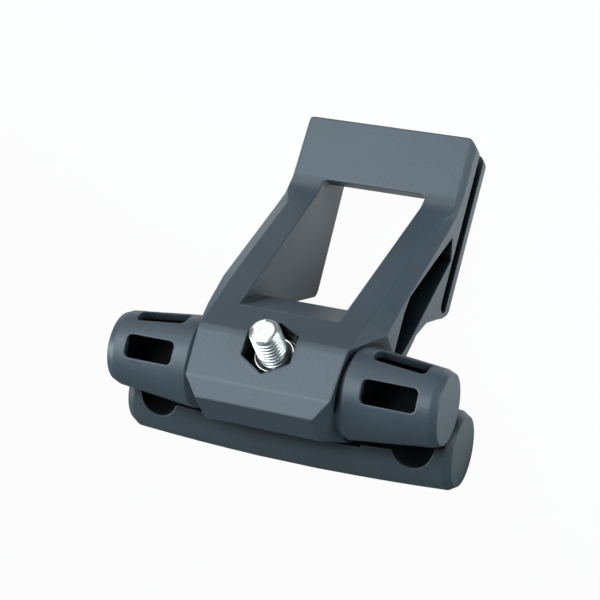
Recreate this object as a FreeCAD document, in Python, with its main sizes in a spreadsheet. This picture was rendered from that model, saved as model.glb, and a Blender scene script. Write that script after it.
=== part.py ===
import FreeCAD, Part
import math
import os

import Sketcher

# Saddle bag mount: a moulded upper body and a moulded clamp bar hold the two saddle rails
# between them, drawn together by one bolt. The bag slides onto the plate at the rear.
# Millimetres. The origin is on the bolt's axis, at the height of the rails' centres.
# X runs across the bicycle, Y to the rear and Z up along the bolt.

doc = FreeCAD.newDocument("saddle_bag_mount")
sheet = doc.addObject("Spreadsheet::Sheet", "sizes")

DRIVING = {
    # saddle rails and the barrels that grip them
    "rail_spacing": 44.0,
    "rail_dia": 7.0,
    "rail_fit": 0.05,
    "barrel_axis_y": -0.7,
    "barrel_axis_z": 6.45,
    # wings of the upper body
    "wing_half_len": 27.8,
    "wing_root_x": 13.2,
    "wing_root_rad": 7.5,
    "wing_neck_x": 11.0,
    "wing_neck_rad": 6.6,
    "wing_tip_rad": 6.1,
    "wing_bevel_len": 1.2,
    "wing_bevel_drop": 0.5,
    "wing_wall": 1.3,
    "wing_end_wall": 1.6,
    "wing_floor_wall": 1.2,
    "cavity_x": 14.6,
    "window_x_in": 15.8,
    "window_x_out": 24.5,
    "window_front_tilt": 25.5,
    "window_rear_tilt": 34.5,
    "window_width": 3.8,
    "window_corner": 0.9,
    # block round the bolt
    "front_y": -9.8,
    "front_low_z": 5.5,
    "facet_low_z": 11.7,
    "front_half": 9.8,
    "crease_y": -7.0,
    "crease_z": 13.4,
    "crease_half": 12.06,
    "fold_y": 1.33,
    "fold_z": 15.2,
    "fold_half": 12.5,
    "fold_round": 3.0,
    "crease_round": 1.5,
    "block_low_y": 5.5,
    "block_low_z": -1.3,
    "block_step_y": 8.0,
    "ramp_top_y": 7.2,
    "ramp_end_y": 14.3,
    "ramp_slope": 48.0,
    # arms, plate and side walls
    "flare_y": 8.5,
    "flare_half": 15.4,
    "shoulder_y": 15.0,
    "hip_y": 36.0,
    "bend_y": 41.0,
    "bend_z": -1.0,
    "bend_round": 6.0,
    "plate_slope": 15.6,
    "plate_len": 12.9,
    "plate_half": 15.6,
    "plate_depth": 10.9,
    "slab_thick": 2.3,
    "end_wall": 2.4,
    "window_lead": 1.6,
    "window_half_low": 8.45,
    "window_half_high": 9.4,
    "window_round": 0.9,
    "heel_y": 28.2,
    "heel_round": 2.0,
    "strut_y": 18.6,
    "strut_z": -4.1,
    "web_y": 16.4,
    "web_z": -2.7,
    "strut_foot_y": 12.5,
    "strut_foot_z": -2.0,
    "fold_rim_drop": 0.1,
    "flare_top_half": 12.65,
    "flare_rim_drop": 3.0,
    "shoulder_top_half": 13.0,
    "shoulder_rim_drop": 1.9,
    "hip_top_half": 13.25,
    "hip_rim_drop": 1.4,
    "bend_rim_drop": 1.2,
    "plate_bevel_width": 0.75,
    "plate_bevel_drop": 1.6,
    "plate_corner": 1.6,
    "plate_rear_round": 1.7,
    # groove for the bag's slider and triangular recess in each side wall
    "slot_top_depth": 4.1,
    "slot_width": 3.3,
    "slot_cut": 3.0,
    "slot_reach": 16.7,
    "slot_round": 1.3,
    "recess_floor_x": 11.0,
    "recess_apex_back": 4.4,
    "recess_apex_drop": 2.1,
    "recess_rise_y": 28.4,
    "recess_rise_web": 3.0,
    "recess_peak_y": 17.9,
    "recess_peak_web": 2.2,
    "recess_brow_y": 14.8,
    "recess_brow_z": 6.1,
    "recess_nose_y": 9.0,
    "recess_nose_z": 3.7,
    "recess_chin_z": 0.6,
    "recess_heel_y": 34.0,
    "recess_heel_z": -6.3,
    # clamp bar
    "bar_half_len": 28.15,
    "bar_mid_rad": 7.3,
    "bar_tip_rad": 6.4,
    "bar_bevel_len": 1.2,
    "bar_bevel_drop": 0.75,
    "bar_flat_z": -1.4,
    "bar_relief_z": -1.7,
    "bar_relief_half": 13.6,
    "arch_fit": 0.02,
    "arch_round": 0.6,
    # bolt, nut and washer
    "bolt_dia": 5.0,
    "bolt_fit": 0.02,
    "nut_bore_fit": 0.02,
    "bolt_hole_fit": 0.15,
    "bolt_len": 30.0,
    "bolt_tip_z": 18.8,
    "bolt_tip_bevel": 0.5,
    "head_dia": 9.5,
    "head_height": 2.75,
    "head_rim": 0.5,
    "head_crown_dia": 4.9,
    "head_dome_rad": 4.0,
    "socket_flats": 3.0,
    "socket_depth": 1.6,
    "nut_flats": 8.0,
    "nut_hex_height": 3.4,
    "nut_height": 5.0,
    "nut_low_z": 7.0,
    "nut_bevel": 0.36,
    "nut_fit": 0.08,
    "collar_rad": 3.5,
    "collar_lip_rad": 3.15,
    "collar_lip_drop": 0.55,
    "collar_bore_rad": 2.95,
    "insert_fit": 0.02,
    "insert_height": 1.35,
    "washer_dia": 10.0,
    "washer_thick": 1.0,
    "washer_fit": 0.25,
}

DERIVED = {
    "rail_x": "rail_spacing / 2",
    "groove_rad": "rail_dia / 2 + rail_fit",
    "barrel_shift": "-barrel_axis_y",
    "wing_shoulder_x": "wing_half_len - wing_bevel_len",
    "wing_end_rad": "wing_tip_rad - wing_bevel_drop",
    "wing_floor_z": "groove_rad + wing_floor_wall",
    "wing_taper": "(wing_root_rad - wing_tip_rad) / (wing_shoulder_x - wing_root_x)",
    "cavity_len": "wing_half_len - wing_end_wall - cavity_x",
    "cavity_rad_in": "wing_root_rad - wing_taper * (cavity_x - wing_root_x) - wing_wall",
    "cavity_rad_out": "cavity_rad_in - wing_taper * cavity_len",
    "window_half": "window_width / 2",
    "arm_drop": "(fold_z - bend_z) / (bend_y - fold_y)",
    "ramp_top_z": "fold_z - arm_drop * (ramp_top_y - fold_y)",
    "ramp_end_z": "ramp_top_z - (ramp_end_y - ramp_top_y) * tan(ramp_slope * 1deg)",
    "ramp_root_y": "ramp_top_y - 2",
    "ramp_half": "window_half_low + 1",
    "slope_c": "cos(plate_slope * 1deg)",
    "slope_s": "sin(plate_slope * 1deg)",
    "plate_top_y": "bend_y + plate_len * slope_c",
    "plate_top_z": "bend_z + plate_len * slope_s",
    "plate_low_y": "plate_top_y + plate_depth * slope_s",
    "plate_low_z": "plate_top_z - plate_depth * slope_c",
    "heel_z": "plate_low_z - (plate_low_y - heel_y) * slope_s / slope_c",
    "cavity_end_y": "plate_top_y - end_wall",
    "window_top_y": "bend_y + window_lead",
    "window_half_end": "window_half_high + (window_half_high - window_half_low)"
                       " * (cavity_end_y - window_top_y) / (window_top_y - ramp_top_y)",
    "slab_start": "window_lead / slope_c",
    "slab_half": "window_half_high + 1",
    "slot_high": "-slot_top_depth",
    "slot_low": "-slot_top_depth - slot_width",
    "slot_open": "plate_len + 6",
    "slot_floor_x": "plate_half - slot_cut",
    "recess_apex_y": "bend_y - recess_apex_back",
    "recess_apex_z": "bend_z - recess_apex_drop",
    "recess_rise_z": "fold_z - arm_drop * (recess_rise_y - fold_y) - recess_rise_web",
    "recess_peak_z": "fold_z - arm_drop * (recess_peak_y - fold_y) - recess_peak_web",
    "rim_end_y": "plate_top_y + 2",
    "bend_reach": "bend_round * tan((plate_slope * 1deg + atan(arm_drop)) / 2)",
    "bend_in_y": "bend_y - bend_reach * cos(atan(arm_drop))",
    "bend_out_y": "bend_y + bend_reach * slope_c",
    "trim_x": "plate_half + 6",
    "trim_front_y": "front_y - 5",
    "trim_rear_y": "plate_low_y + 5",
    "bar_axis_z": "-barrel_axis_z",
    "bar_shoulder_x": "bar_half_len - bar_bevel_len",
    "bar_end_rad": "bar_tip_rad - bar_bevel_drop",
    "bar_crown": "bar_mid_rad - bar_tip_rad",
    "crown_x_1": "bar_shoulder_x * 0.2",
    "crown_rad_1": "bar_mid_rad",
    "crown_x_2": "bar_shoulder_x * 0.4",
    "crown_rad_2": "bar_mid_rad - bar_crown * 0.16",
    "crown_x_3": "bar_shoulder_x * 0.6",
    "crown_rad_3": "bar_mid_rad - bar_crown * 0.36",
    "crown_x_4": "bar_shoulder_x * 0.8",
    "crown_rad_4": "bar_mid_rad - bar_crown * 0.64",
    "arch_rad": "rail_dia / 2 + arch_fit",
    "arch_out_x": "rail_x + arch_rad",
    "arch_mouth_x": "rail_x - sqrt(arch_rad * arch_rad - bar_flat_z * bar_flat_z)",
    "arch_above_z": "barrel_axis_z",
    "bolt_rad": "bolt_dia / 2 - bolt_fit",
    "nut_bore_rad": "bolt_dia / 2 + nut_bore_fit",
    "hole_rad": "bolt_dia / 2 + bolt_hole_fit",
    "head_top_z": "bolt_tip_z - bolt_len",
    "washer_top_z": "head_top_z + washer_thick",
    "bore_rad": "washer_dia / 2 + washer_fit",
    "washer_rad": "washer_dia / 2",
    "tip_rad": "bolt_rad - bolt_tip_bevel",
    "tip_shoulder": "bolt_len - bolt_tip_bevel",
    "head_rad": "head_dia / 2",
    "head_crown_rad": "head_crown_dia / 2",
    "socket_half": "socket_flats / 2",
    "socket_side": "socket_half / sqrt(3)",
    "socket_point": "2 * socket_side",
    "nut_half": "nut_flats / 2",
    "nut_side": "nut_half / sqrt(3)",
    "nut_point": "2 * nut_side",
    "nut_rim": "nut_point + 1",
    "nut_bevel_slope": "nut_bevel / (nut_point - nut_half) * (nut_rim - nut_half)",
    "nut_low_bevel": "nut_bevel_slope",
    "nut_high_bevel": "nut_hex_height - nut_bevel_slope",
    "collar_shoulder": "nut_height - collar_lip_drop",
    "insert_rad": "collar_bore_rad - insert_fit",
    "insert_low_z": "nut_low_z + nut_hex_height",
    "pocket_half": "nut_half + nut_fit",
    "pocket_side": "pocket_half / sqrt(3)",
    "pocket_point": "2 * pocket_side",
}


# Stations of the rim from the fold to the plate's end: place, half-width of the top face,
# half-width of the side and drop from the top face to the side's edge.
RIM = {
    "fold": ("fold_y", "fold_half - fold_rim_drop", "fold_half", "fold_rim_drop"),
    "flare": ("flare_y", "flare_top_half", "flare_half", "flare_rim_drop"),
    "shoulder": ("shoulder_y", "shoulder_top_half", "plate_half", "shoulder_rim_drop"),
    "hip": ("hip_y", "hip_top_half", "plate_half", "hip_rim_drop"),
    "bend_in": ("bend_in_y", "plate_half - plate_bevel_width", "plate_half", "bend_rim_drop"),
    "bend_out": ("bend_out_y", "plate_half - plate_bevel_width", "plate_half", "bend_rim_drop"),
    "tail": ("rim_end_y", "plate_half - plate_bevel_width", "plate_half", "plate_bevel_drop"),
}
for station, (place, top_half, side_half, drop) in RIM.items():
    if station in ("bend_out", "tail"):
        height = "bend_z + (%s - bend_y) * slope_s / slope_c" % place
    else:
        height = "fold_z - arm_drop * (%s - fold_y)" % place
    DERIVED["rim_back_" + station] = "-" + place
    DERIVED["rim_top_" + station] = height
    DERIVED["rim_in_" + station] = top_half
    DERIVED["rim_out_" + station] = side_half
    DERIVED["rim_low_" + station] = "rim_top_%s - %s" % (station, drop)
    DERIVED["rim_far_" + station] = side_half + " + 3"
    DERIVED["rim_high_" + station] = "rim_top_%s + 3" % station


def fill_sheet():
    """Write the driving sizes as plain numbers and the worked-out sizes as formulas."""
    row = 1
    for alias, number in DRIVING.items():
        sheet.set("A%d" % row, alias)
        sheet.set("B%d" % row, str(number))
        sheet.setAlias("B%d" % row, alias)
        row += 1
    for alias, formula in DERIVED.items():
        sheet.set("A%d" % row, alias)
        sheet.set("B%d" % row, "=" + formula)
        sheet.setAlias("B%d" % row, alias)
        row += 1
    doc.recompute()


def size(name):
    """Current value of a size, or minus it where the name starts with a minus sign."""
    if name == "0":
        return 0.0
    if name.startswith("-"):
        return -float(sheet.get(name[1:]))
    return float(sheet.get(name))


def cell(name):
    """The same size as an expression for a bound property."""
    if name.startswith("-"):
        return "-sizes." + name[1:]
    return "sizes." + name


def new_body(label, rest_z=None):
    """Body of one sub-part, raised to the height where it sits."""
    body = doc.addObject("PartDesign::Body", label)
    body.Label = label
    if rest_z:
        body.setExpression("Placement.Base.z", cell(rest_z))
    return body


def origin_plane(body, role):
    return [f for f in body.Origin.OriginFeatures if f.Role == role][0]


def new_sketch(body, name, role, lift=None, shift=None, turn_axis=None, turn=None):
    """Sketch on an origin plane of its own body, moved and turned by named sizes."""
    sketch = body.newObject("Sketcher::SketchObject", name)
    sketch.AttachmentSupport = [(origin_plane(body, role), "")]
    sketch.MapMode = "FlatFace"
    if turn:
        sketch.AttachmentOffset = FreeCAD.Placement(
            FreeCAD.Vector(0, 0, 0), FreeCAD.Rotation(turn_axis, size(turn)))
        sketch.setExpression("AttachmentOffset.Rotation.Angle", cell(turn))
    if shift:
        sketch.setExpression("AttachmentOffset.Base.x", cell(shift[0]) if shift[0] != "0" else "0")
        sketch.setExpression("AttachmentOffset.Base.y", cell(shift[1]))
    if lift:
        sketch.setExpression("AttachmentOffset.Base.z", cell(lift))
    return sketch


def pin(sketch, kind, geometry, point, name):
    """Hold one coordinate of a point at a named size."""
    row = sketch.addConstraint(Sketcher.Constraint(kind, -1, 1, geometry, point, size(name)))
    if name != "0":
        sketch.setExpression("Constraints[%d]" % row, cell(name))


def point_at(corner):
    return FreeCAD.Vector(size(corner[0]), size(corner[1]), 0)


def polygon(sketch, corners):
    """Closed outline of straight lines, each corner held at two named sizes."""
    count = len(corners)
    rows = []
    for k in range(count):
        line = Part.LineSegment(point_at(corners[k]), point_at(corners[(k + 1) % count]))
        rows.append(sketch.addGeometry(line, False))
    for k in range(count):
        after = rows[(k + 1) % count]
        sketch.addConstraint(Sketcher.Constraint("Coincident", rows[k], 2, after, 1))
    for k in range(count):
        pin(sketch, "DistanceX", rows[k], 1, corners[k][0])
        pin(sketch, "DistanceY", rows[k], 1, corners[k][1])
    return rows


def circle(sketch, across, along, radius):
    centre = point_at((across, along))
    row = sketch.addGeometry(Part.Circle(centre, FreeCAD.Vector(0, 0, 1), size(radius)), False)
    pin(sketch, "DistanceX", row, 3, across)
    pin(sketch, "DistanceY", row, 3, along)
    bound = sketch.addConstraint(Sketcher.Constraint("Radius", row, size(radius)))
    sketch.setExpression("Constraints[%d]" % bound, cell(radius))


def rounded_rectangle(sketch, left, right, low, high, radius):
    """Rectangle between four named sides, with its corners rounded alike."""
    a, b, c, d, r = [size(n) for n in (left, right, low, high, radius)]
    up = FreeCAD.Vector(0, 0, 1)
    point = FreeCAD.Vector
    first = sketch.GeometryCount
    sketch.addGeometry([
        Part.LineSegment(point(a + r, c, 0), point(b - r, c, 0)),
        Part.LineSegment(point(b, c + r, 0), point(b, d - r, 0)),
        Part.LineSegment(point(b - r, d, 0), point(a + r, d, 0)),
        Part.LineSegment(point(a, d - r, 0), point(a, c + r, 0)),
        Part.ArcOfCircle(Part.Circle(point(b - r, c + r, 0), up, r), -math.pi / 2, 0),
        Part.ArcOfCircle(Part.Circle(point(b - r, d - r, 0), up, r), 0, math.pi / 2),
        Part.ArcOfCircle(Part.Circle(point(a + r, d - r, 0), up, r), math.pi / 2, math.pi),
        Part.ArcOfCircle(Part.Circle(point(a + r, c + r, 0), up, r), math.pi, math.pi * 1.5),
    ], False)
    for k in range(4):
        line = first + k
        arc = first + 4 + k
        after = first + (k + 1) % 4
        sketch.addConstraint(Sketcher.Constraint("Tangent", line, 2, arc, 1))
        sketch.addConstraint(Sketcher.Constraint("Tangent", arc, 2, after, 1))
    sketch.addConstraint(Sketcher.Constraint("Horizontal", first))
    sketch.addConstraint(Sketcher.Constraint("Vertical", first + 1))
    sketch.addConstraint(Sketcher.Constraint("Horizontal", first + 2))
    sketch.addConstraint(Sketcher.Constraint("Vertical", first + 3))
    for k in (5, 6, 7):
        sketch.addConstraint(Sketcher.Constraint("Equal", first + 4, first + k))
    bound = sketch.addConstraint(Sketcher.Constraint("Radius", first + 4, r))
    sketch.setExpression("Constraints[%d]" % bound, cell(radius))
    pin(sketch, "DistanceY", first, 1, low)
    pin(sketch, "DistanceX", first + 1, 1, right)
    pin(sketch, "DistanceY", first + 2, 1, high)
    pin(sketch, "DistanceX", first + 3, 1, left)


def hexagon(sketch, half, side, tip):
    """Hexagon with two flats square to the sketch's first axis."""
    polygon(sketch, [(half, "-" + side), (half, side), ("0", tip),
                     ("-" + half, side), ("-" + half, "-" + side), ("0", "-" + tip)])


def pad(body, name, sketch, length, midplane=False):
    feature = body.newObject("PartDesign::Pad", name)
    feature.Profile = sketch
    feature.Midplane = midplane
    feature.setExpression("Length", length)
    doc.recompute()
    return feature


def pocket(body, name, sketch, length=None, reverse=False):
    """Cut with a sketch, right through both ways where no length is given."""
    before = body.Shape.Volume
    feature = body.newObject("PartDesign::Pocket", name)
    feature.Profile = sketch
    feature.Reversed = reverse
    if length is None:
        feature.Type = 1
        feature.Midplane = True
    else:
        feature.setExpression("Length", length)
    doc.recompute()
    if not body.Shape.Volume < before:
        raise RuntimeError(name + " cuts nothing")
    return feature


def revolve(body, kind, name, sketch, axis):
    before = body.Shape.Volume if kind == "PartDesign::Groove" else 0.0
    feature = body.newObject(kind, name)
    feature.Profile = sketch
    feature.ReferenceAxis = (sketch, [axis])
    feature.Angle = 360.0
    doc.recompute()
    if kind == "PartDesign::Groove" and not body.Shape.Volume < before:
        raise RuntimeError(name + " cuts nothing")
    return feature


def mirrored(body, name, features):
    feature = body.newObject("PartDesign::Mirrored", name)
    feature.Originals = features
    feature.MirrorPlane = (origin_plane(body, "YZ_Plane"), [""])
    body.Tip = feature
    doc.recompute()
    return feature


def edges_where(shape, wanted):
    """Names of the edges whose two ends both satisfy a test."""
    names = []
    for k, edge in enumerate(shape.Edges):
        ends = [v.Point for v in edge.Vertexes]
        if len(ends) == 2 and wanted(ends[0], ends[1]):
            names.append("Edge%d" % (k + 1))
    return names


def fillet(body, name, names, radius):
    """Round the named edges of the body as it stands."""
    if not names:
        raise RuntimeError(name + " finds no edges")
    base = body.Tip
    feature = body.newObject("PartDesign::Fillet", name)
    feature.Base = (base, names)
    feature.setExpression("Radius", cell(radius))
    doc.recompute()
    return feature


def near(a, b):
    return abs(a - b) < 0.002


def at_yz(point, y_name, z_name):
    return near(point.y, size(y_name)) and near(point.z, size(z_name))


fill_sheet()

# Upper body. The side outline gives the block, the arms, the plate and the side walls.
upper = new_body("upper_form")
outline = new_sketch(upper, "side_outline", "YZ_Plane")
polygon(outline, [
    ("front_y", "front_low_z"), ("front_y", "facet_low_z"), ("crease_y", "crease_z"),
    ("fold_y", "fold_z"), ("bend_y", "bend_z"), ("plate_top_y", "plate_top_z"),
    ("plate_low_y", "plate_low_z"), ("heel_y", "heel_z"), ("strut_y", "strut_z"),
    ("web_y", "web_z"), ("strut_foot_y", "strut_foot_z"), ("block_step_y", "block_low_z"),
    ("-block_low_y", "block_low_z")])
pad(upper, "side_pad", outline, "2 * sizes.plate_half", midplane=True)

# The plan narrows to the front; both sides are trimmed to it.
plan = new_sketch(upper, "plan_trim", "XY_Plane")
for mark in ("", "-"):
    polygon(plan, [
        (mark + "front_half", "trim_front_y"), (mark + "front_half", "front_y"),
        (mark + "crease_half", "crease_y"), (mark + "fold_half", "fold_y"),
        (mark + "flare_half", "flare_y"), (mark + "plate_half", "shoulder_y"),
        (mark + "plate_half", "trim_rear_y"), (mark + "trim_x", "trim_rear_y"),
        (mark + "trim_x", "trim_front_y")])
pocket(upper, "plan_pocket", plan)

# Rounded corners of the plate and of the side walls.
corner_edges = edges_where(
    upper.Shape, lambda a, b: near(abs(a.x), size("plate_half")) and near(a.x, b.x)
    and ((at_yz(a, "plate_top_y", "plate_top_z") and at_yz(b, "plate_low_y", "plate_low_z"))
         or (at_yz(b, "plate_top_y", "plate_top_z") and at_yz(a, "plate_low_y", "plate_low_z"))))
fillet(upper, "plate_corners", corner_edges, "plate_corner")

rear_edges = edges_where(
    upper.Shape, lambda a, b: at_yz(a, "plate_low_y", "plate_low_z")
    and at_yz(b, "plate_low_y", "plate_low_z"))
fillet(upper, "rear_round", rear_edges, "plate_rear_round")

heel_edges = edges_where(
    upper.Shape, lambda a, b: at_yz(a, "heel_y", "heel_z") and at_yz(b, "heel_y", "heel_z"))
fillet(upper, "heel_fillet", heel_edges, "heel_round")

# Soft folds across the top.
for fold_name, fold_radius in (("fold", "fold_round"), ("crease", "crease_round"),
                               ("bend", "bend_round")):
    cross_edges = edges_where(
        upper.Shape, lambda a, b: at_yz(a, fold_name + "_y", fold_name + "_z")
        and at_yz(b, fold_name + "_y", fold_name + "_z"))
    fillet(upper, fold_name + "_fillet", cross_edges, fold_radius)


# The facet along the rim grows from nothing at the fold and narrows again to the plate's bevel.
rims = []
for station in RIM:
    section = new_sketch(upper, "rim_" + station, "XZ_Plane", lift="rim_back_" + station)
    polygon(section, [
        ("rim_in_" + station, "rim_top_" + station), ("rim_out_" + station, "rim_low_" + station),
        ("rim_far_" + station, "rim_high_" + station)])
    rims.append(section)
before = upper.Shape.Volume
rim = upper.newObject("PartDesign::SubtractiveLoft", "rim_facet")
rim.Profile = rims[0]
rim.Sections = [(section, [""]) for section in rims[1:]]
rim.Ruled = True
doc.recompute()
mirrored(upper, "left_rim", [rim])
if not upper.Shape.Volume < before:
    raise RuntimeError("rim_facet cuts nothing")

# Window between the arms, with the block's sloping rear and the plate's slab left in it.
window = new_sketch(upper, "window_plan", "XY_Plane")
polygon(window, [
    ("-window_half_low", "ramp_top_y"), ("window_half_low", "ramp_top_y"),
    ("window_half_high", "window_top_y"), ("window_half_end", "cavity_end_y"),
    ("-window_half_end", "cavity_end_y"), ("-window_half_high", "window_top_y")])
pocket(upper, "window_cut", window)

ramp = new_sketch(upper, "ramp_outline", "YZ_Plane")
polygon(ramp, [
    ("ramp_top_y", "ramp_top_z"), ("ramp_end_y", "ramp_end_z"), ("ramp_end_y", "block_low_z"),
    ("ramp_root_y", "block_low_z"), ("ramp_root_y", "ramp_end_z")])
pad(upper, "ramp_pad", ramp, "2 * sizes.ramp_half", midplane=True)

slab = new_sketch(upper, "slab_outline", "YZ_Plane", shift=("bend_y", "bend_z"),
                  turn_axis=FreeCAD.Vector(0, 0, 1), turn="plate_slope")
polygon(slab, [("slab_start", "-slab_thick"), ("plate_len", "-slab_thick"),
               ("plate_len", "0"), ("slab_start", "0")])
pad(upper, "slab_pad", slab, "2 * sizes.slab_half", midplane=True)
slab_corners = edges_where(
    upper.Shape, lambda a, b: a.x * b.x > 0 and abs(a.z - b.z) > size("slab_thick") / 2
    and all(abs(abs(e.x) - size("window_half_high")) < 0.1
            and abs(e.y - size("window_top_y")) < 1 for e in (a, b)))
fillet(upper, "slab_rounds", slab_corners, "window_round")

# Wings: one turned form whose middle lies inside the block.
wings = new_sketch(upper, "wing_profile", "XZ_Plane", lift="barrel_shift",
                   shift=("0", "barrel_axis_z"))
polygon(wings, [
    ("-wing_half_len", "0"), ("wing_half_len", "0"), ("wing_half_len", "wing_end_rad"),
    ("wing_shoulder_x", "wing_tip_rad"), ("wing_root_x", "wing_root_rad"),
    ("wing_neck_x", "wing_neck_rad"), ("-wing_neck_x", "wing_neck_rad"),
    ("-wing_root_x", "wing_root_rad"), ("-wing_shoulder_x", "wing_tip_rad"),
    ("-wing_half_len", "wing_end_rad")])
revolve(upper, "PartDesign::Revolution", "wing_turning", wings, "H_Axis")

# Grooves for the rails, the bolt's hole and the nut's pocket.
rails = new_sketch(upper, "rail_sections", "XZ_Plane")
circle(rails, "rail_x", "0", "groove_rad")
circle(rails, "-rail_x", "0", "groove_rad")
pocket(upper, "rail_grooves", rails)

hole = new_sketch(upper, "bolt_hole_section", "XY_Plane")
circle(hole, "0", "0", "hole_rad")
pocket(upper, "bolt_hole", hole)

nut_seat = new_sketch(upper, "nut_pocket_section", "XY_Plane", lift="nut_low_z")
hexagon(nut_seat, "pocket_half", "pocket_side", "pocket_point")
pocket(upper, "nut_pocket", nut_seat, "sizes.bolt_len", reverse=True)

# Openings through the wings' walls, in front and on top.
for side_name, tilt in (("front", "window_front_tilt"), ("rear", "-window_rear_tilt")):
    lights = new_sketch(upper, side_name + "_lights", "XY_Plane", lift="barrel_axis_z",
                        shift=("0", "barrel_axis_y"), turn_axis=FreeCAD.Vector(1, 0, 0), turn=tilt)
    for mark in (1, -1):
        ends = ("window_x_in", "window_x_out") if mark > 0 else ("-window_x_out", "-window_x_in")
        rounded_rectangle(lights, ends[0], ends[1], "-window_half", "window_half", "window_corner")
    pocket(upper, side_name + "_light_cut", lights, "sizes.wing_root_rad + 2", reverse=True)

# Recess and slider groove, cut into the right side wall and mirrored.
recess = new_sketch(upper, "recess_outline", "YZ_Plane", lift="recess_floor_x")
polygon(recess, [
    ("recess_apex_y", "recess_apex_z"), ("recess_rise_y", "recess_rise_z"),
    ("recess_peak_y", "recess_peak_z"), ("recess_brow_y", "recess_brow_z"),
    ("recess_nose_y", "recess_nose_z"),
    ("recess_nose_y", "recess_chin_z"), ("recess_heel_y", "recess_heel_z")])
recess_cut = pocket(upper, "recess_cut", recess, "sizes.plate_half", reverse=True)

slot = new_sketch(upper, "slot_outline", "YZ_Plane", lift="slot_floor_x",
                  shift=("bend_y", "bend_z"), turn_axis=FreeCAD.Vector(0, 0, 1), turn="plate_slope")
rounded_rectangle(slot, "-slot_reach", "slot_open", "slot_low", "slot_high", "slot_round")
slot_cut = pocket(upper, "slot_cutting", slot, "sizes.plate_half", reverse=True)
mirrored(upper, "left_side", [recess_cut, slot_cut])

# The wings' hollows have a flat floor over the rail groove.
hollow = doc.addObject("Part::Cone", "hollow_cone")
hollow.setExpression("Radius1", "sizes.cavity_rad_in")
hollow.setExpression("Radius2", "sizes.cavity_rad_out")
hollow.setExpression("Height", "sizes.cavity_len")
hollow.Placement = FreeCAD.Placement(FreeCAD.Vector(0, 0, 0),
                                     FreeCAD.Rotation(FreeCAD.Vector(0, 1, 0), 90))
hollow.setExpression("Placement.Base.x", "sizes.cavity_x")
hollow.setExpression("Placement.Base.y", "sizes.barrel_axis_y")
hollow.setExpression("Placement.Base.z", "sizes.barrel_axis_z")
above = doc.addObject("Part::Box", "above_floor")
above.setExpression("Length", "sizes.wing_half_len")
above.setExpression("Width", "4 * sizes.wing_root_rad")
above.setExpression("Height", "2 * sizes.wing_root_rad")
above.setExpression("Placement.Base.y", "-2 * sizes.wing_root_rad")
above.setExpression("Placement.Base.z", "sizes.wing_floor_z")
right_hollow = doc.addObject("Part::Common", "right_hollow")
right_hollow.Base = hollow
right_hollow.Tool = above
left_hollow = doc.addObject("Part::Mirroring", "left_hollow")
left_hollow.Source = right_hollow
left_hollow.Normal = FreeCAD.Vector(1, 0, 0)
hollows = doc.addObject("Part::Fuse", "hollows")
hollows.Base = right_hollow
hollows.Tool = left_hollow
mount_body = doc.addObject("Part::Cut", "mount_body")
mount_body.Label = "mount_body"
mount_body.Base = upper
mount_body.Tool = hollows
doc.recompute()

# Clamp bar: a barrel, cut away above for the rails, the block and the bolt.
bar = new_body("clamp_bar")
barrel = new_sketch(bar, "barrel_profile", "XZ_Plane", lift="barrel_shift", shift=("0", "bar_axis_z"))
right_crown = [("crown_x_%d" % k, "crown_rad_%d" % k) for k in range(1, 5)]
right_crown += [("bar_shoulder_x", "bar_tip_rad"), ("bar_half_len", "bar_end_rad"), ("bar_half_len", "0")]
left_crown = [("-" + across, rad) for across, rad in reversed(right_crown)]
polygon(barrel, right_crown + left_crown)
revolve(bar, "PartDesign::Revolution", "barrel_turning", barrel, "H_Axis")

seats = new_sketch(bar, "seat_profile", "XZ_Plane")
right_half = [
    ("arch_out_x", "arch_above_z"), ("arch_out_x", "0"), ("rail_x", "0"), ("rail_x", "bar_flat_z"),
    ("bar_relief_half", "bar_flat_z"), ("bar_relief_half", "bar_relief_z")]
left_half = [("-" + across, along) for across, along in reversed(right_half)]
polygon(seats, right_half + left_half)
pocket(bar, "seat_cut", seats)
arches = new_sketch(bar, "arch_sections", "XZ_Plane")
circle(arches, "rail_x", "0", "arch_rad")
circle(arches, "-rail_x", "0", "arch_rad")
pocket(bar, "arch_cut", arches)
mouth_edges = edges_where(
    bar.Shape, lambda a, b: near(abs(a.x), size("arch_mouth_x")) and near(a.x, b.x)
    and near(a.z, size("bar_flat_z")) and near(b.z, size("bar_flat_z")))
fillet(bar, "arch_mouths", mouth_edges, "arch_round")

bar_hole = new_sketch(bar, "bar_hole_section", "XY_Plane")
circle(bar_hole, "0", "0", "hole_rad")
pocket(bar, "bar_hole", bar_hole)
head_bore = new_sketch(bar, "head_bore_section", "XY_Plane", lift="washer_top_z")
circle(head_bore, "0", "0", "bore_rad")
pocket(bar, "head_bore", head_bore, "sizes.bar_mid_rad")

# Bolt, head down, with its tip standing out of the nut.
bolt = new_body("clamp_bolt", "head_top_z")
shank = new_sketch(bolt, "bolt_profile", "XZ_Plane")
bolt_corners = [
    ("head_crown_rad", "-head_height"), ("0", "-head_height"), ("0", "bolt_len"),
    ("tip_rad", "bolt_len"), ("bolt_rad", "tip_shoulder"), ("bolt_rad", "0"), ("head_rad", "0"),
    ("head_rad", "-head_rim")]
rows = []
for k in range(7):
    rows.append(shank.addGeometry(
        Part.LineSegment(point_at(bolt_corners[k]), point_at(bolt_corners[k + 1])), False))
low = point_at(bolt_corners[0])
high = point_at(bolt_corners[7])
half_chord = (high - low) * 0.5
rise = math.sqrt(size("head_dome_rad") ** 2 - half_chord.Length ** 2)
outward = FreeCAD.Vector(half_chord.y, -half_chord.x, 0).normalize()
middle = low + half_chord + outward * (size("head_dome_rad") - rise)
dome = shank.addGeometry(Part.Arc(low, middle, high), False)
for k in range(6):
    shank.addConstraint(Sketcher.Constraint("Coincident", rows[k], 2, rows[k + 1], 1))
shank.addConstraint(Sketcher.Constraint("Coincident", dome, 1, rows[0], 1))
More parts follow.
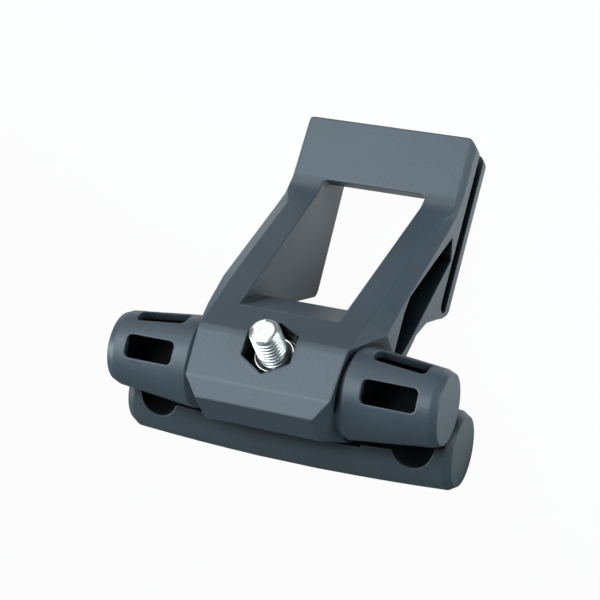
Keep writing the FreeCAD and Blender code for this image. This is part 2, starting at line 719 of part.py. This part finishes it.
shank.addConstraint(Sketcher.Constraint("Coincident", dome, 2, rows[6], 2))
for k in range(7):
    pin(shank, "DistanceX", rows[k], 1, bolt_corners[k][0])
    pin(shank, "DistanceY", rows[k], 1, bolt_corners[k][1])
pin(shank, "DistanceX", rows[6], 2, bolt_corners[7][0])
pin(shank, "DistanceY", rows[6], 2, bolt_corners[7][1])
bound = shank.addConstraint(Sketcher.Constraint("Radius", dome, size("head_dome_rad")))
shank.setExpression("Constraints[%d]" % bound, cell("head_dome_rad"))
revolve(bolt, "PartDesign::Revolution", "bolt_turning", shank, "V_Axis")
key_hole = new_sketch(bolt, "socket_section", "XY_Plane", lift="-head_height")
hexagon(key_hole, "socket_half", "socket_side", "socket_point")
pocket(bolt, "socket_cut", key_hole, "sizes.socket_depth", reverse=True)

# Washer between the bolt's head and the bar.
washer = new_body("washer", "head_top_z")
ring = new_sketch(washer, "washer_section", "XY_Plane")
circle(ring, "0", "0", "washer_rad")
circle(ring, "0", "0", "hole_rad")
pad(washer, "washer_pad", ring, "sizes.washer_thick")

# Locking nut in the block's pocket: a hexagon, and a round collar that holds a plastic ring.
nut = new_body("hex_nut", "nut_low_z")
nut_plan = new_sketch(nut, "nut_section", "XY_Plane")
hexagon(nut_plan, "nut_half", "nut_side", "nut_point")
circle(nut_plan, "0", "0", "nut_bore_rad")
pad(nut, "nut_pad", nut_plan, "sizes.nut_hex_height")
nut_edges = new_sketch(nut, "nut_bevels", "XZ_Plane")
polygon(nut_edges, [("nut_half", "nut_hex_height"), ("nut_rim", "nut_high_bevel"),
                    ("nut_rim", "nut_hex_height")])
polygon(nut_edges, [("nut_half", "0"), ("nut_rim", "0"), ("nut_rim", "nut_low_bevel")])
revolve(nut, "PartDesign::Groove", "nut_bevel_turning", nut_edges, "V_Axis")
collar = new_sketch(nut, "collar_profile", "XZ_Plane")
polygon(collar, [
    ("collar_bore_rad", "nut_hex_height"), ("collar_rad", "nut_hex_height"),
    ("collar_rad", "collar_shoulder"), ("collar_lip_rad", "nut_height"),
    ("collar_bore_rad", "nut_height")])
revolve(nut, "PartDesign::Revolution", "collar_turning", collar, "V_Axis")
insert = new_body("nut_insert", "insert_low_z")
insert_plan = new_sketch(insert, "insert_section", "XY_Plane")
circle(insert_plan, "0", "0", "insert_rad")
circle(insert_plan, "0", "0", "nut_bore_rad")
pad(insert, "insert_pad", insert_plan, "sizes.insert_height")

doc.recompute()

for item in doc.Objects:
    if "Invalid" in item.State or "Error" in item.State:
        raise RuntimeError(item.Name + " failed: " + ", ".join(item.State))

os.makedirs("parts", exist_ok=True)
sub_parts = [mount_body, bar, washer, bolt, nut, insert]
for item in sub_parts:
    if item.Shape.isNull() or not item.Shape.isValid():
        raise RuntimeError(item.Label + " has no valid shape")
for item in sub_parts:
    item.Shape.exportStep("parts/" + item.Label + ".step")
    box = item.Shape.BoundBox
    print("%-12s %d solid, %.1f mm3, x %.2f %.2f, y %.2f %.2f, z %.2f %.2f" % (
        item.Label, len(item.Shape.Solids), item.Shape.Volume,
        box.XMin, box.XMax, box.YMin, box.YMax, box.ZMin, box.ZMax))
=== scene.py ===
import math

import bmesh
import bpy
from mathutils import Matrix, Vector


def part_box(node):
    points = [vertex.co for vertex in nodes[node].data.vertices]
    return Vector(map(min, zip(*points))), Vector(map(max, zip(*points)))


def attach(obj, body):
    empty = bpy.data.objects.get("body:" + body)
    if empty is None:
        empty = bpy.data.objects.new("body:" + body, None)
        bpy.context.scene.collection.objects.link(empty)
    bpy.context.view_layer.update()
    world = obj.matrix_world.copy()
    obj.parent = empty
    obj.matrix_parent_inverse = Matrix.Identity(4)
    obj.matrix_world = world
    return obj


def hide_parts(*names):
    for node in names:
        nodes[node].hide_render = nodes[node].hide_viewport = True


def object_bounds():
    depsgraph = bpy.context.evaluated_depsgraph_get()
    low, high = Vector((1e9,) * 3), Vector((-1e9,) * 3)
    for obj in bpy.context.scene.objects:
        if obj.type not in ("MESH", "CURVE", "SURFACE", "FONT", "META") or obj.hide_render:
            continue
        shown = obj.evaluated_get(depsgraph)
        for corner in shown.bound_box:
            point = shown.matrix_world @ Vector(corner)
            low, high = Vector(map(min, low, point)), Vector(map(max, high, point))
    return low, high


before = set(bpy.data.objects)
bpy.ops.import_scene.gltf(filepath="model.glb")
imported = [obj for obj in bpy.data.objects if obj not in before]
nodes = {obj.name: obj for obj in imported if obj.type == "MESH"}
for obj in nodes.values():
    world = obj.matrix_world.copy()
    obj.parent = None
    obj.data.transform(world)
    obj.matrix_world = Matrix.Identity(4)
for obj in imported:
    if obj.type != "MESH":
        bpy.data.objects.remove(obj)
cad_low, cad_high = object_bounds()
MM = 0.001
WHITE = (1.0, 1.0, 1.0)


def add_object(name, data):
    item = bpy.data.objects.new(name, data)
    bpy.context.scene.collection.objects.link(item)
    return item


# Camera: its right, down and forward directions, the shift of its place in mm, and its lens.
RIGHT = (0.919484, 0.330184, -0.213372)
DOWN = (0.164375, -0.815935, -0.554285)
AHEAD = (-0.357113, 0.474583, -0.804513)
OFFSET = (-1.45812, 15.05719, 287.91175)
SENSOR_WIDTH = 36.0
LENS = 108.0
NEAREST = 0.01
FARTHEST = 10.0


def make_camera():
    turn = Matrix((RIGHT, DOWN, AHEAD))
    place = -(turn.transposed() @ Vector(OFFSET)) * MM
    axes = Matrix((RIGHT, [-d for d in DOWN], [-a for a in AHEAD])).transposed()
    data = bpy.data.cameras.new("camera")
    data.sensor_fit = "HORIZONTAL"
    data.sensor_width = SENSOR_WIDTH
    data.lens = LENS
    data.clip_start = NEAREST
    data.clip_end = FARTHEST
    camera = add_object("camera", data)
    camera.matrix_world = Matrix.Translation(place) @ axes.to_4x4()
    bpy.context.scene.camera = camera


make_camera()


class Nodes:
    """A short way to write the node tree of a material or a world."""

    # Sockets of a colour mix: its share, its two colours and its result.
    SHARE = 0
    FIRST = 6
    SECOND = 7
    RESULT = 2

    def __init__(self, owner, output):
        owner.use_nodes = True
        self.tree = owner.node_tree
        self.tree.nodes.clear()
        self.surface = self.add(output).inputs["Surface"]

    def feed(self, socket, value):
        """Link another node's socket to this one, or set a number, direction or colour on it."""
        if isinstance(value, bpy.types.NodeSocket):
            self.tree.links.new(value, socket)
        elif socket.type == "RGBA":
            socket.default_value = (*value, 1.0)
        else:
            socket.default_value = value

    def add(self, kind, sockets=None, **values):
        node = self.tree.nodes.new(kind)
        for key, value in values.items():
            setattr(node, key, value)
        for key, value in (sockets or {}).items():
            self.feed(node.inputs[key], value)
        return node

    def math(self, operation, a, b, clamp=False):
        node = self.add("ShaderNodeMath", {0: a, 1: b}, operation=operation, use_clamp=clamp)
        return node.outputs[0]

    def scaled(self, value, gain, start):
        """A value times gain, plus start."""
        return self.math("ADD", self.math("MULTIPLY", value, gain), start)

    def rising(self, value, start, slope):
        """0 up to start, then up to 1 at this slope."""
        return self.math("MULTIPLY", self.math("SUBTRACT", value, start), slope, clamp=True)

    def dot(self, a, b):
        return self.add("ShaderNodeVectorMath", {0: a, 1: b}, operation="DOT_PRODUCT").outputs["Value"]

    def noise(self, where, scale, detail, rough):
        sockets = {"Vector": where, "Scale": scale, "Detail": detail, "Roughness": rough}
        return self.add("ShaderNodeTexNoise", sockets).outputs["Fac"]

    def ramp(self, value, stops):
        node = self.add("ShaderNodeValToRGB", {"Fac": value})
        elements = node.color_ramp.elements
        while len(elements) < len(stops):
            elements.new(0.5)
        for element, (at, shade) in zip(elements, stops):
            element.position = at
            element.color = (*shade, 1.0)
        return node.outputs["Color"]

    def mix(self, share, a, b, blend="MIX"):
        sockets = {self.SHARE: share, self.FIRST: a, self.SECOND: b}
        node = self.add("ShaderNodeMix", sockets, data_type="RGBA", blend_type=blend)
        return node.outputs[self.RESULT]

    def bump(self, height, strength, distance, normal):
        sockets = {"Height": height, "Strength": strength, "Distance": distance, "Normal": normal}
        return self.add("ShaderNodeBump", sockets).outputs["Normal"]

    def end(self, shader):
        self.feed(self.surface, shader.outputs[0])

    def end_mixed(self, share, a, b):
        sockets = {0: share, 1: a.outputs[0], 2: b.outputs[0]}
        self.end(self.add("ShaderNodeMixShader", sockets))

    def seen(self, path):
        """1 on rays from the camera or through something clear, otherwise 0."""
        return self.math("MAXIMUM", path.outputs["Is Camera Ray"], path.outputs["Is Transmission Ray"])


def new_material(name):
    material = bpy.data.materials.new(name)
    return material, Nodes(material, "ShaderNodeOutputMaterial")


def times(shade, gain):
    return tuple(min(1.0, c * gain) for c in shade)


# Both finishes: samples for rounded edges, and the noise values at which a ramp starts and ends.
EDGE_SAMPLES = 8
CLOUD_LOW = 0.3
CLOUD_HIGH = 0.7

# Moulded plastic. Scales are in cells a metre. A noise is its scale, detail and roughness.
PLASTIC_CLOUD = (90.0, 3.0, 0.6)
PLASTIC_CLOUD_SHADES = (0.93, 1.06)
FLECK = (2600.0, 2.0, 0.6)
FLECK_SHADES = ((0.32, 0.91), (0.5, 1.0), (0.72, 1.08))
GRAIN = (4200.0, 2.0, 0.55)
GRAIN_STRENGTH = 0.30
GRAIN_DEPTH = 0.00003
WAVE = (260.0, 2.0, 0.5)
WAVE_STRENGTH = 0.12
WAVE_DEPTH = 0.00012
# Paler edges, partly wear and partly painted highlight: how fast the edge mask rises, its share and
# its shade.
EDGE_GAIN = 3.0
WEAR_AND_HIGHLIGHT_SHARE = 0.24
WORN_AND_HIGHLIGHT_SHADE = 1.7
# Painted shade in hollows: occlusion samples, how fast it fades out, and the darkest share it leaves.
HOLLOW_SAMPLES = 8
HOLLOW_SLOPE = 3.2
HOLLOW_PAINTED_SHADE = 0.07
PLASTIC_GLOSS = 0.60
PLASTIC_ROUGH = 0.36
PLASTIC_ROUGH_SPAN = 0.08


def moulded_plastic(name, shade, edge_round, alone, reach, dark_below):
    """Matt plastic with a fine grain, paler edges that are partly wear and partly painted highlight,
    and painted shade in its hollows.

    A hollow is what has walls within reach, of the same piece only if alone is true. Its colour and
    gloss are painted darker there, darkest where its open share is under dark_below.
    """
    material, n = new_material(name)
    where = n.add("ShaderNodeTexCoord").outputs["Object"]
    rounded = n.add("ShaderNodeBevel", {"Radius": edge_round}, samples=EDGE_SAMPLES).outputs["Normal"]
    flat = n.add("ShaderNodeNewGeometry").outputs["Normal"]
    turned = n.math("SUBTRACT", 1.0, n.dot(rounded, flat))
    edge = n.math("MULTIPLY", turned, EDGE_GAIN, clamp=True)
    cloud = n.noise(where, *PLASTIC_CLOUD)
    low, high = PLASTIC_CLOUD_SHADES
    base = n.ramp(cloud, [(CLOUD_LOW, times(shade, low)), (CLOUD_HIGH, times(shade, high))])
    specks = n.ramp(n.noise(where, *FLECK), [(at, (grey, grey, grey)) for at, grey in FLECK_SHADES])
    flecked = n.mix(1.0, base, specks, "MULTIPLY")
    # Paler edges: partly wear, partly a painted highlight on the rounded rims.
    worn_and_highlit = n.mix(n.math("MULTIPLY", edge, WEAR_AND_HIGHLIGHT_SHARE), flecked, times(shade, WORN_AND_HIGHLIGHT_SHADE))
    # Painted shade: colour and gloss are darkened where ambient occlusion finds walls nearby.
    hollow = n.add("ShaderNodeAmbientOcclusion", {"Distance": reach}, samples=HOLLOW_SAMPLES,
                   only_local=alone)
    open_share = n.rising(hollow.outputs["AO"], dark_below, HOLLOW_SLOPE)
    painted_shade = n.scaled(open_share, 1.0 - HOLLOW_PAINTED_SHADE, HOLLOW_PAINTED_SHADE)
    wave = n.bump(n.noise(where, *WAVE), WAVE_STRENGTH, WAVE_DEPTH, rounded)
    n.end(n.add("ShaderNodeBsdfPrincipled", {
        "Base Color": n.mix(1.0, worn_and_highlit, painted_shade, "MULTIPLY"),
        "Specular IOR Level": n.math("MULTIPLY", painted_shade, PLASTIC_GLOSS),
        "Roughness": n.scaled(cloud, PLASTIC_ROUGH_SPAN, PLASTIC_ROUGH),
        "Normal": n.bump(n.noise(where, *GRAIN), GRAIN_STRENGTH, GRAIN_DEPTH, wave)}))
    return material


# Bright steel, in the same measures.
STEEL_SHADE = (0.80, 0.79, 0.77)
STEEL_CLOUD = (420.0, 3.0, 0.6)
STEEL_CLOUD_SHADE = 0.90
RING_SCALE = 1500.0
RING_DISTORTION = 1.5
RING_DETAIL = 2.0
STEEL_GRAIN = (5200.0, 3.0, 0.6)
MARK_STRENGTH = 0.18
MARK_DEPTH = 0.00001


def bright_steel(name, rough_low, rough_high, edge_round, ringed):
    """Bright metal with clouded gloss, marked by turned rings or else by a fine grain."""
    material, n = new_material(name)
    where = n.add("ShaderNodeTexCoord").outputs["Object"]
    rounded = n.add("ShaderNodeBevel", {"Radius": edge_round}, samples=EDGE_SAMPLES).outputs["Normal"]
    cloud = n.noise(where, *STEEL_CLOUD)
    if ringed:
        sockets = {"Vector": where, "Scale": RING_SCALE, "Distortion": RING_DISTORTION,
                   "Detail": RING_DETAIL}
        rings = n.add("ShaderNodeTexWave", sockets, wave_type="RINGS", rings_direction="Z")
        marks = rings.outputs["Fac"]
    else:
        marks = n.noise(where, *STEEL_GRAIN)
    n.end(n.add("ShaderNodeBsdfPrincipled", {
        "Base Color": n.ramp(cloud, [(CLOUD_LOW, times(STEEL_SHADE, STEEL_CLOUD_SHADE)),
                                     (CLOUD_HIGH, STEEL_SHADE)]),
        "Metallic": 1.0,
        "Roughness": n.scaled(cloud, rough_high - rough_low, rough_low),
        "Normal": n.bump(marks, MARK_STRENGTH, MARK_DEPTH, rounded)}))
    return material


# Each plastic's reach, alone and dark_below set its painted shade; the bar's also counts the wing and
# the floor, so it is painted darker under the wing and near the floor.
body_plastic = moulded_plastic("body_plastic", (0.061, 0.074, 0.090), edge_round=0.00045,
                               alone=True, reach=0.010, dark_below=0.43)
bar_plastic = moulded_plastic("bar_plastic", (0.061, 0.076, 0.086), edge_round=0.00045,
                              alone=False, reach=0.009, dark_below=0.63)
insert_plastic = moulded_plastic("insert_plastic", (0.012, 0.014, 0.016), edge_round=0.00010,
                                 alone=True, reach=0.002, dark_below=0.30)
steel = bright_steel("steel", rough_low=0.16, rough_high=0.30, edge_round=0.00012, ringed=True)
thread_steel = bright_steel("thread_steel", rough_low=0.28, rough_high=0.40, edge_round=0.00004,
                            ringed=False)

for node_name, material in (("mount_body", body_plastic), ("clamp_bar", bar_plastic),
                            ("washer", steel), ("hex_nut", steel), ("nut_insert", insert_plastic)):
    item = nodes[node_name]
    if not item.material_slots:
        item.data.materials.append(material)
    for row in item.material_slots:
        row.material = material


# Bolt with its real M5 thread, a bevelled tip, a domed head and a hexagon socket, turned about Z.
# Lengths are in mm, heights are Z and angles are in degrees.
AROUND = 60
WELD = 1e-7
SHARP_OVER = 50.0
PITCH = 0.8
CREST = 2.48
ROOT = 2.00
TIP = 0.5
RUN_OUT = 0.5
THREAD_LOW = -7.0
SPARE_TURNS = 3

# Part of a turn and radius: a flat crest, a flank, a rounded root and the other flank.
THREAD = ((0.0, CREST), (0.13, CREST), (0.44, ROOT + 0.03), (0.56, ROOT), (0.68, ROOT + 0.03),
          (0.99, CREST))

# Radius and depth under the tip: the end face with the small dimple that turning leaves.
END_FACE = ((CREST - TIP, 0.0), (1.35, 0.0), (0.70, 0.07), (0.0, 0.14))

HEAD_TOP = -11.2
HEAD_RADIUS = 4.75
HEAD_FILLET = 0.2
HEAD_EDGE = 0.1

# The dome is an arc, with its centre's radius and height over the head's top.
DOME_RADIUS = 4.0
DOME_CENTRE = 1.04
DOME_CENTRE_OVER = 0.993
DOME_START = -21.9
DOME_STEP = -7.92
DOME_POINTS = 7

# Socket: its rim's radius, half its width at two heights over the head's low end, and the cone
# at its floor. All of its heights count from the head's low end.
SOCKET_RIM = 1.95
SOCKET_WALLS = ((1.5, 0.2), (1.5, 1.55))
SOCKET_FLOOR = 1.1
SOCKET_FLOOR_OVER = 1.6
SOCKET_POINT_OVER = 2.0


def finish_piece(mesh_data, name, body, material):
    item = add_object(name, mesh_data)
    item.data.materials.append(material)
    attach(item, body)
    return item


def ring_point(rad, k, z):
    angle = 2 * math.pi * k / AROUND
    return (rad * math.cos(angle) * MM, rad * math.sin(angle) * MM, z * MM)


def hexagon_rad(half, k):
    """Distance from the axis to a hexagon's side, at step k of the ring."""
    angle = 360 * k / AROUND
    return half / math.cos(math.radians(angle % 60 - 30))


def add_ring(shape, rad, z):
    return [shape.verts.new(ring_point(rad, k, z)) for k in range(AROUND)]


def join_rings(shape, a, b, up):
    for k in range(AROUND):
        after = (k + 1) % AROUND
        corners = (a[k], a[after], b[after], b[k])
        shape.faces.new(corners if up else corners[::-1])


def join_point(shape, ring, z):
    point = shape.verts.new((0, 0, z * MM))
    for k in range(AROUND):
        shape.faces.new((ring[k], ring[(k + 1) % AROUND], point))


def add_rings(shape, stations, up):
    """Rings at each radius and height, joined in turn; a radius of 0 ends them in a point."""
    last = None
    for rad, z in stations:
        if rad == 0.0:
            join_point(shape, last, z)
            return last
        row = add_ring(shape, rad, z)
        if last is not None:
            join_rings(shape, last, row, up)
        last = row
    return last


def thread_point(rad, k, z, high):
    """A point of the thread, held to the shank below, the run-out and the tip's bevel."""
    if z < THREAD_LOW:
        rad = CREST
    z = min(max(z, THREAD_LOW), high)
    rad = min(rad, CREST - TIP + (high - z))
    if z < THREAD_LOW + RUN_OUT:
        rad = CREST - (CREST - rad) * (z - THREAD_LOW) / RUN_OUT
    return ring_point(rad, k, z)


def add_thread(shape, high):
    """One column of points for each step round, where the last meets the first a turn on."""
    turns = int((high - THREAD_LOW) / PITCH) + SPARE_TURNS
    columns = []
    for k in range(AROUND):
        lead = PITCH * k / AROUND
        column = []
        for turn in range(turns):
            for part, rad in THREAD:
                z = THREAD_LOW - PITCH + (turn + part) * PITCH + lead
                column.append(shape.verts.new(thread_point(rad, k, z, high)))
        columns.append(column)
    for k in range(AROUND):
        here = columns[k]
        after = columns[(k + 1) % AROUND]
        step = len(THREAD) if k == AROUND - 1 else 0
        for j in range(len(here) - 1 - step):
            shape.faces.new((here[j], after[j + step], after[j + 1 + step], here[j + 1]))
    bmesh.ops.remove_doubles(shape, verts=shape.verts, dist=WELD)
    bmesh.ops.dissolve_degenerate(shape, edges=shape.edges, dist=WELD)


def add_head(shape, head_low):
    """Shank under the thread, then the head's top, rim and dome, and last the socket."""
    below = [(CREST, THREAD_LOW), (CREST, HEAD_TOP + HEAD_FILLET), (CREST + HEAD_FILLET, HEAD_TOP),
             (HEAD_RADIUS - HEAD_EDGE, HEAD_TOP), (HEAD_RADIUS, HEAD_TOP - HEAD_EDGE)]
    for k in range(DOME_POINTS):
        turn = math.radians(DOME_START + DOME_STEP * k)
        below.append((DOME_CENTRE + DOME_RADIUS * math.cos(turn),
                      HEAD_TOP + DOME_CENTRE_OVER + DOME_RADIUS * math.sin(turn)))
    below.append((SOCKET_RIM, head_low))
    last = add_rings(shape, below, False)
    for half, over in SOCKET_WALLS:
        row = [shape.verts.new(ring_point(hexagon_rad(half, k), k, head_low + over))
               for k in range(AROUND)]
        join_rings(shape, last, row, False)
        last = row
    floor = add_ring(shape, SOCKET_FLOOR, head_low + SOCKET_FLOOR_OVER)
    join_rings(shape, last, floor, False)
    join_point(shape, floor, head_low + SOCKET_POINT_OVER)


def threaded_bolt(high, head_low):
    shape = bmesh.new()
    add_thread(shape, high)
    add_rings(shape, [(rad, high - under) for rad, under in END_FACE], True)
    add_head(shape, head_low)
    bmesh.ops.remove_doubles(shape, verts=shape.verts, dist=WELD)
    bmesh.ops.recalc_face_normals(shape, faces=shape.faces)
    data = bpy.data.meshes.new("bolt_with_thread")
    shape.to_mesh(data)
    shape.free()
    for face in data.polygons:
        face.use_smooth = True
    data.set_sharp_from_angle(angle=math.radians(SHARP_OVER))
    return data


bolt_low, bolt_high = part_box("clamp_bolt")
bolt = finish_piece(threaded_bolt(bolt_high.z / MM, bolt_low.z / MM),
                    "threaded_bolt", "bolt", thread_steel)
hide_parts("clamp_bolt")


# Floor: half its side, and how far it lies under the object.
FLOOR_HALF = 3.0
FLOOR_UNDER = 0.0001

# The floor's matt colour is dark under the object and in front of it, a painted shadow, and pale
# behind it and to its right. Paleness rises along PALE_TOWARDS from PALE_FROM, in metres. A glossy
# ray sees white there, a painted reflection, by a share that goes from GLOSSY_DARK to GLOSSY_PALE.
FLOOR_PAINTED_SHADE = (0.12, 0.15, 0.17)
FLOOR_PALE = (0.72, 0.86, 0.92)
PALE_TOWARDS = (0.42, 0.907, 0.0)
PALE_FROM = 0.008
PALE_SLOPE = 25.0
GLOSSY_DARK = 0.05
GLOSSY_PALE = 0.85
GLOW_SHARE = 0.97

WORLD_SHADE = (0.78, 0.93, 1.0)
WORLD_STRENGTH = 0.12

# Each lamp's name, place, size, power in watts and colour. All of them face the origin.
LAMPS = (("overhead", (-0.36, -0.27, 0.90), (0.90, 0.72), 9.4, (0.79, 0.93, 1.0)),
         ("rear_left", (-0.38, 0.50, 0.82), (0.42, 0.36), 1.2, WHITE),
         ("left", (-0.76, -0.30, 0.24), (0.40, 0.40), 3.8, (0.86, 0.98, 1.0)),
         ("right", (0.78, 0.12, 0.44), (0.50, 0.50), 4.4, (0.76, 0.95, 1.0)))


def floor_finish():
    """White on the rays that are seen, with a share of matt colour that takes the shadow and holds a
    painted shadow near the object; glossy rays see a white glow behind it, a painted reflection.
    """
    material, n = new_material("floor")
    path = n.add("ShaderNodeLightPath")
    behind = n.dot(n.add("ShaderNodeTexCoord").outputs["Object"], PALE_TOWARDS)
    pale = n.rising(behind, PALE_FROM, PALE_SLOPE)
    # Painted shadow: the matt colour is dark under and in front of the object.
    matte = n.add("ShaderNodeBsdfDiffuse", {"Color": n.mix(pale, FLOOR_PAINTED_SHADE, FLOOR_PALE)})
    glow = n.add("ShaderNodeEmission", {"Color": WHITE, "Strength": 1.0})
    # Painted reflection: glossy rays see white behind the object and little in front of it.
    painted_reflection = n.math("MULTIPLY", path.outputs["Is Glossy Ray"],
                    n.scaled(pale, GLOSSY_PALE - GLOSSY_DARK, GLOSSY_DARK))
    share = n.math("MULTIPLY", n.math("MAXIMUM", n.seen(path), painted_reflection), GLOW_SHARE)
    n.end_mixed(share, matte, glow)
    return material


def make_floor():
    data = bpy.data.meshes.new("floor")
    low = cad_low.z - FLOOR_UNDER
    corners = [(x * FLOOR_HALF, y * FLOOR_HALF, low) for x, y in ((-1, -1), (1, -1), (1, 1), (-1, 1))]
    data.from_pydata(corners, [], [(0, 1, 2, 3)])
    data.materials.append(floor_finish())
    floor = add_object("floor", data)


def make_world():
    world = bpy.data.worlds.new("studio")
    bpy.context.scene.world = world
    n = Nodes(world, "ShaderNodeOutputWorld")
    plain = n.add("ShaderNodeBackground", {"Color": WORLD_SHADE, "Strength": WORLD_STRENGTH})
    white = n.add("ShaderNodeBackground", {"Color": WHITE, "Strength": 1.0})
    n.end_mixed(n.seen(n.add("ShaderNodeLightPath")), plain, white)


def soft_light(name, place, size, power, shade):
    data = bpy.data.lights.new(name, "AREA")
    data.shape = "RECTANGLE"
    data.size, data.size_y = size
    data.energy = power
    data.color = shade
    lamp = add_object(name, data)
    lamp.location = place
    lamp.rotation_euler = (-Vector(place)).to_track_quat("-Z", "Y").to_euler()


make_floor()
make_world()
for lamp in LAMPS:
    soft_light(*lamp)

bpy.context.scene.view_settings.view_transform = "Standard"
